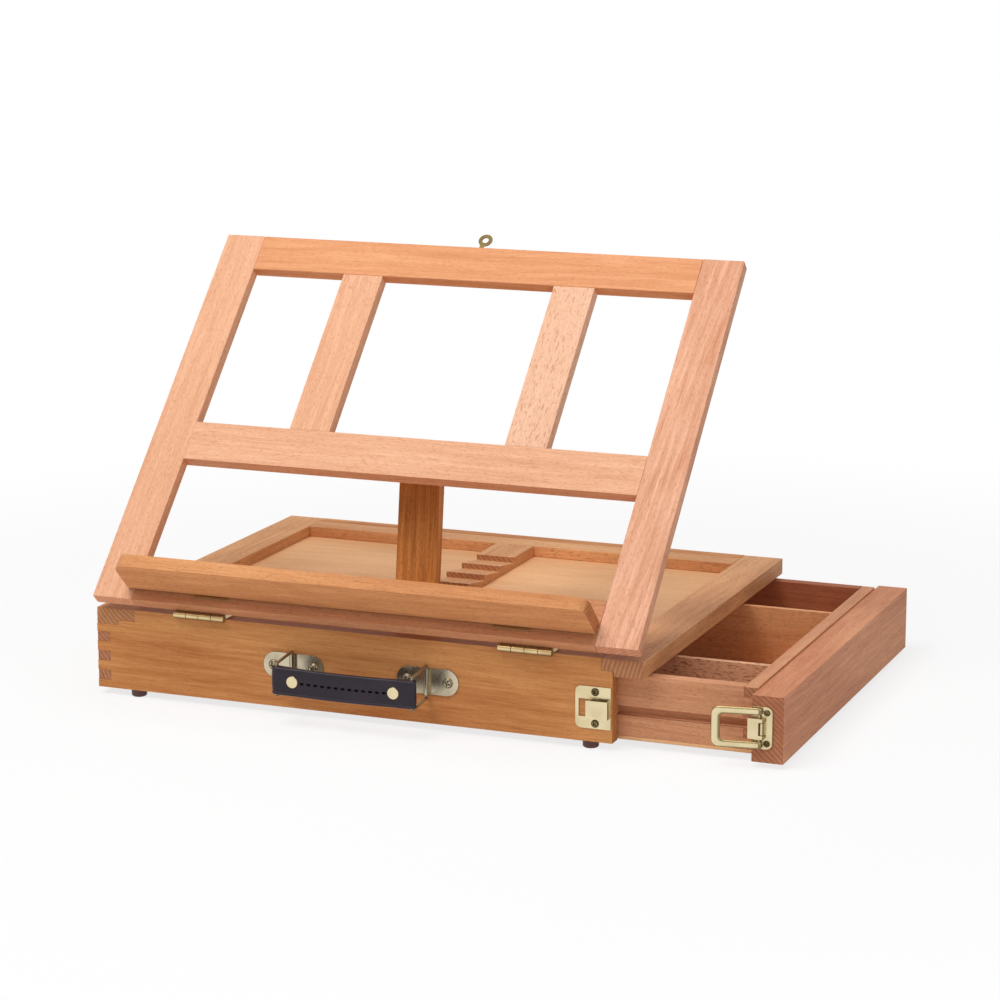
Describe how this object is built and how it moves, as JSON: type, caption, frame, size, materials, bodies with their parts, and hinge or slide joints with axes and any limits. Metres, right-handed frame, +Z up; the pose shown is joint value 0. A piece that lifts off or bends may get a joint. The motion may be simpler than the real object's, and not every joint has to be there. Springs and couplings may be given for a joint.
{
  "type": "box easel",
  "caption": "Wooden table-top box easel: a case with a side drawer, a tilting frame on top held by a strut in a notched rack, a folding ledge, a carrying handle and a latch.",
  "frame": {"origin": "on the table, under the middle of the easel's box as it stands with the frame up and the drawer open", "axes": "+X along the front towards the drawer, +Y from the front to the back, +Z up"},
  "size_m": [0.494, 0.3464, 0.3025],
  "materials": {
    "frame_beech": "satin lacquered pale beech",
    "ledge_beech": "satin lacquered beech, a little more orange",
    "strut_beech": "satin lacquered beech with a darker heart streak",
    "case_beech": "satin lacquered golden beech",
    "rail_beech": "satin lacquered beech",
    "drawer_beech": "satin lacquered reddish beech",
    "drawer_inside": "plain beech, lightly sealed",
    "plywood": "pale plywood, lightly sealed",
    "brass": "bright brass plate",
    "nickel": "warm nickel plate",
    "leather": "smooth dark aubergine leather",
    "foot": "dark brown moulded foot"
  },
  "bodies": {
    "case": {"front_wall": "case_beech", "back_wall": "case_beech", "left_wall": "case_beech", "top_left_rail": "rail_beech", "top_right_rail": "rail_beech", "top_front_rail": "rail_beech", "top_back_rail": "rail_beech", "top_panel": "plywood", "notched_rack": "rail_beech", "drawer_runners": "drawer_beech", "feet": "foot", "case_hinge_leaves": "brass", "hinge_pins": "brass", "case_hinge_screws": "brass", "strike": "brass", "strike_screws": "brass", "handle_plate_left": "nickel", "handle_plate_right": "nickel", "handle_screws": "nickel", "hasp_stud": "brass"},
    "drawer": {"drawer_face": "drawer_beech", "drawer_front_side": "drawer_beech", "drawer_back_side": "drawer_beech", "drawer_left_end": "drawer_inside", "drawer_right_end": "drawer_inside", "drawer_bottom": "plywood", "drawer_front_divider": "drawer_inside", "drawer_back_divider": "drawer_inside", "latch_base": "brass", "latch_pin": "brass", "latch_screws": "brass"},
    "latch_lever": {"latch_lever": "brass"},
    "latch_loop": {"latch_loop": "brass"},
    "easel_frame": {"easel_stile_left": "frame_beech", "easel_stile_right": "frame_beech", "easel_top_rail": "frame_beech", "easel_mid_rail": "frame_beech", "easel_bottom_rail": "frame_beech", "easel_muntin_left": "frame_beech", "easel_muntin_right": "frame_beech", "frame_hinge_leaves": "brass", "frame_hinge_screws": "brass", "ledge_frame_leaves": "brass", "ledge_pins": "brass", "strut_frame_leaf": "brass", "strut_frame_screws": "brass", "strut_pin": "brass", "hasp_base": "brass", "hasp_pin": "brass"},
    "ledge": {"ledge": "ledge_beech", "ledge_leaves": "brass"},
    "strut": {"strut": "strut_beech", "strut_hinge_leaf": "brass", "strut_screws": "brass"},
    "hasp": {"hasp_eye": "brass"},
    "handle_ring_left": {"handle_ring_left": "nickel"},
    "handle_ring_right": {"handle_ring_right": "nickel"},
    "handle_strap": {"strap": "leather", "strap_rivets": "brass"}
  },
  "joints": [
    {"name": "drawer_slide", "type": "slide", "parent": "case", "child": "drawer", "axis": [1, 0, 0], "range_m": [-0.094, 0.13]},
    {"name": "easel_tilt", "type": "hinge", "parent": "case", "child": "easel_frame", "pos_m": [-0.047, -0.1458, 0.063], "axis": [1, 0, 0], "range_deg": [0, 44.3]},
    {"name": "strut_swing", "type": "hinge", "parent": "easel_frame", "child": "strut", "pos_m": [-0.047, -0.03929, 0.17214], "axis": [1, 0, 0], "range_deg": [-37.34, 0]},
    {"name": "ledge_fold", "type": "hinge", "parent": "easel_frame", "child": "ledge", "pos_m": [-0.047, -0.13901, 0.08628], "axis": [-1, 0, 0], "range_deg": [0, 90]},
    {"name": "hasp_fold", "type": "hinge", "parent": "easel_frame", "child": "hasp", "pos_m": [-0.048, 0.07388, 0.29183], "axis": [-1, 0, 0], "range_deg": [0, 90]},
    {"name": "latch_lever_turn", "type": "hinge", "parent": "drawer", "child": "latch_lever", "pos_m": [0.2336, -0.1458, 0.027], "axis": [0, 0, 1], "range_deg": [0, 165.01]},
    {"name": "latch_loop_swing", "type": "hinge", "parent": "latch_lever", "child": "latch_loop", "pos_m": [0.2318, -0.1458, 0.027], "axis": [0, 0, 1], "range_deg": [-174, 0]},
    {"name": "handle_left_turn", "type": "hinge", "parent": "case", "child": "handle_ring_left", "pos_m": [-0.0967, -0.145, 0.0344], "axis": [0, 0, 1], "range_deg": [-70, 70]},
    {"name": "handle_strap_turn", "type": "hinge", "parent": "handle_ring_left", "child": "handle_strap", "pos_m": [-0.0967, -0.17, 0.0344], "axis": [0, 0, 1], "range_deg": [-70, 70]},
    {"name": "handle_right_turn", "type": "hinge", "parent": "case", "child": "handle_ring_right", "pos_m": [0.0016, -0.145, 0.0344], "axis": [0, 0, 1], "range_deg": [-70, 70]}
  ],
  "couplings": [
    {"joint": "strut_swing", "follows": "easel_tilt", "ratio": -0.84266},
    {"joint": "latch_lever_turn", "follows": "latch_loop_swing", "ratio": -0.94828},
    {"joint": "handle_strap_turn", "follows": "handle_left_turn", "ratio": -1},
    {"joint": "handle_right_turn", "follows": "handle_left_turn", "ratio": 1}
  ]
}
